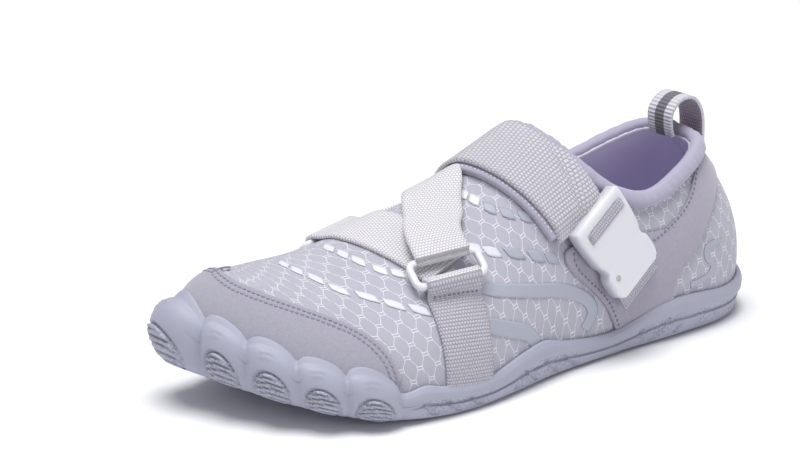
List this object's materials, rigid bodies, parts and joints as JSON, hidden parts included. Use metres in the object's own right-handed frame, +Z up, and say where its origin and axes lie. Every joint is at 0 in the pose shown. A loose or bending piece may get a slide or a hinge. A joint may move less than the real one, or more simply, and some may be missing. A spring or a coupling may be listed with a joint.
{
  "type": "water shoe",
  "caption": "Left slip-on water shoe with a hollow fabric upper, a cupped rubber sole with toe lobes, webbing straps on ring loops and a buckled instep strap.",
  "frame": {"origin": "on the floor, in the middle of the flat patch that the heel rests on", "axes": "+X from the heel to the toe, +Y to the outer side of this left shoe, +Z up"},
  "size_m": [0.2592, 0.0977, 0.0885],
  "materials": {
    "sole_rubber": "matte, finely textured",
    "upper_mesh": "knitted mesh with a raised net",
    "footbed_fabric": "brushed textile",
    "lining_fabric": "soft stretch lining",
    "suede": "napped synthetic suede",
    "clear_white": "milky white moulding",
    "webbing_dark": "ribbed webbing",
    "webbing": "ribbed webbing",
    "pad_fabric": "bound padded fabric",
    "tab_rubber": "soft moulded rubber",
    "loop_tape": "ribbed tape"
  },
  "bodies": {
    "root": {"outsole": "sole_rubber", "upper": "upper_mesh", "insole": "footbed_fabric", "collar_binding": "lining_fabric", "toe_cap": "suede", "heel_overlay": "suede", "outer_ring": "clear_white", "inner_ring": "clear_white", "instep_ring": "clear_white", "buckle": "clear_white", "outer_anchor": "webbing_dark", "inner_anchor": "webbing_dark", "buckle_anchor": "webbing_dark", "cross_webbing": "webbing", "instep_strap": "webbing", "tab_strap": "webbing", "instep_pad": "pad_fabric", "pull_tab": "tab_rubber", "pull_loop": "loop_tape"}
  },
  "joints": []
}
